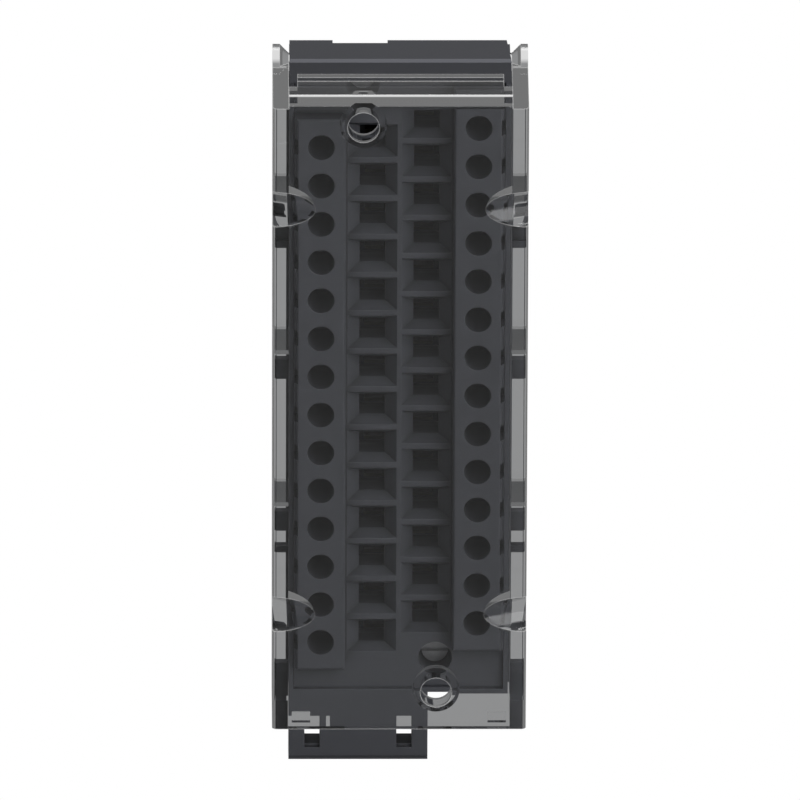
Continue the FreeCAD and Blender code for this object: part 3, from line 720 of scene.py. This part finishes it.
class BuildStage(bpy.types.Operator):
    """Adds the pale floor, the soft lights and the camera"""
    bl_idname = "terminal_block.build_stage"
    bl_label = "Build stage"

    def execute(self, context):
        settings = context.scene.block_stage
        scene = context.scene
        scene.view_settings.view_transform = "Standard"
        self.floor(settings)
        self.world(scene, settings)
        self.light(scene, "Key light", settings.key_place, settings.key_size,
                   settings.key_power)
        self.light(scene, "Top light", settings.top_place, settings.top_size,
                   settings.top_power)
        back = self.light(scene, "Back light", settings.back_place, settings.back_size,
                          settings.back_power)
        back.visible_glossy = False
        back.visible_transmission = False
        self.camera(scene, settings)
        return {"FINISHED"}

    def white_behind(self, tree, settings):
        """Strength of the white, less behind each clear surface, and where it is seen."""
        path = tree.nodes.new("ShaderNodeLightPath").outputs
        strength = maths(tree, "POWER", settings.glass_loss, path["Transmission Depth"])
        seen = maths(tree, "MAXIMUM", path["Is Camera Ray"], path["Is Transmission Ray"])
        return strength, seen

    def floor_material(self, name, settings):
        """White to the camera, and a shade of grey to the object that stands over it."""
        material = new_material(name)
        tree = material.node_tree
        strength, seen = self.white_behind(tree, settings)
        glow = add(tree, "ShaderNodeEmission", Strength=strength)
        pale = add(tree, "ShaderNodeBsdfDiffuse", Color=(*[settings.floor_shade] * 3, 1.0))
        end_tree(tree, mix_shaders(tree, seen, pale.outputs["BSDF"],
                                   glow.outputs["Emission"]))
        return material

    def floor(self, settings):
        mesh = bmesh.new()
        bmesh.ops.create_grid(mesh, x_segments=1, y_segments=1, size=FLOOR_REACH)
        data = bpy.data.meshes.new("floor")
        mesh.to_mesh(data)
        mesh.free()
        floor = mesh_object("floor", data, self.floor_material("Pale floor", settings))
        floor.location.z = CAD_BOX[0][2] - settings.floor_drop

    def world(self, scene, settings):
        world = bpy.data.worlds.new("Studio")
        world.use_nodes = True
        tree = world.node_tree
        tree.nodes.clear()
        strength, seen = self.white_behind(tree, settings)
        light = mix(tree, "FLOAT", seen, settings.room_glow, strength)
        glow = add(tree, "ShaderNodeBackground", Strength=light)
        end_tree(tree, glow.outputs["Background"], "ShaderNodeOutputWorld")
        scene.world = world

    def light(self, scene, name, place, size, power):
        data = bpy.data.lights.new(name, "AREA")
        data.shape = "SQUARE"
        data.size = size
        data.energy = power
        lamp = bpy.data.objects.new(name, data)
        lamp.location = place
        aim = (LIGHT_AIM - Vector(place)).to_track_quat("-Z", "Y")
        lamp.rotation_euler = aim.to_euler()
        lamp.visible_camera = False
        scene.collection.objects.link(lamp)
        return lamp

    def camera(self, scene, settings):
        azimuth = settings.camera_azimuth
        elevation = settings.camera_elevation
        look = Vector((-math.sin(azimuth) * math.cos(elevation),
                       math.cos(azimuth) * math.cos(elevation), -math.sin(elevation)))
        data = bpy.data.cameras.new("Camera")
        data.lens = settings.camera_lens
        data.sensor_width = SENSOR_WIDTH
        data.clip_start = CLIP_START
        data.clip_end = CLIP_END
        camera = bpy.data.objects.new("Camera", data)
        roll = Matrix.Rotation(settings.camera_roll, 3, "Z")
        turn = look.to_track_quat("-Z", "Y").to_matrix() @ roll
        camera.rotation_euler = turn.to_euler()
        camera.location = Vector(settings.camera_target) - look * settings.camera_distance
        scene.collection.objects.link(camera)
        scene.camera = camera


class TerminalBlockPanel(bpy.types.Panel):
    """Lists the settings and the steps that dress the terminal block"""
    bl_idname = "VIEW3D_PT_terminal_block"
    bl_label = "Terminal Block"
    bl_space_type = "VIEW_3D"
    bl_region_type = "UI"
    bl_category = "Terminal Block"

    def draw(self, context):
        layout = self.layout
        for pointer, group in SETTINGS.items():
            box = layout.box()
            for name in group.__annotations__:
                box.prop(getattr(context.scene, pointer), name)
        for step in STEPS:
            layout.operator(step.bl_idname)


SETTINGS = {
    "block_moulded": MouldedFinish,
    "block_cover": CoverFinish,
    "block_metal": MetalFinish,
    "block_stage": StageSetup,
}
STEPS = (FinishMouldings, FinishCover, FinishMetal, BuildThreads, BuildStage)
CLASSES = (*SETTINGS.values(), *STEPS, TerminalBlockPanel)


def register():
    for cls in CLASSES:
        bpy.utils.register_class(cls)
    for pointer, group in SETTINGS.items():
        setattr(bpy.types.Scene, pointer, bpy.props.PointerProperty(type=group))


def unregister():
    for pointer in SETTINGS:
        delattr(bpy.types.Scene, pointer)
    for cls in reversed(CLASSES):
        bpy.utils.unregister_class(cls)


def main():
    register()
    for step in STEPS:
        group, name = step.bl_idname.split(".")
        getattr(getattr(bpy.ops, group), name)()


if __name__ == "__main__":
    main()
